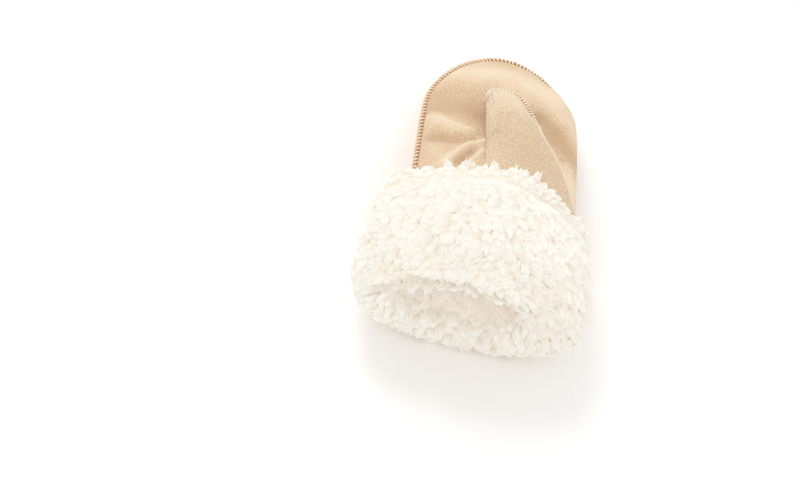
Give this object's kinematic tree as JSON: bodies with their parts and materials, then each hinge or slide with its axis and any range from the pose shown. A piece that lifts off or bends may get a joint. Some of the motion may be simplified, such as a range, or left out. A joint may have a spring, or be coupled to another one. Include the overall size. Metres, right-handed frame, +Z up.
{
  "type": "mitten",
  "caption": "Right-hand suede mitten with a stitched rim, a tapered thumb folded over the palm and a deep fluffy pile cuff, lying open on its back.",
  "frame": {"origin": "middle of the underside of the whole mitten", "axes": "+Y from the cuff's mouth to the fingertips, +X towards the thumb's side, +Z up from the back of the hand to the palm"},
  "size_m": [0.1344, 0.294, 0.0752],
  "materials": {
    "suede": "fine brushed nap, matt",
    "pile": "soft curly pile, matt"
  },
  "bodies": {
    "root": {"palm_panel": "suede", "back_panel_thumb_side": "suede", "back_panel_outer_side": "suede", "thumb_front_panel": "suede", "thumb_back_panel": "suede", "cuff": "pile", "lining": "pile"}
  },
  "joints": []
}
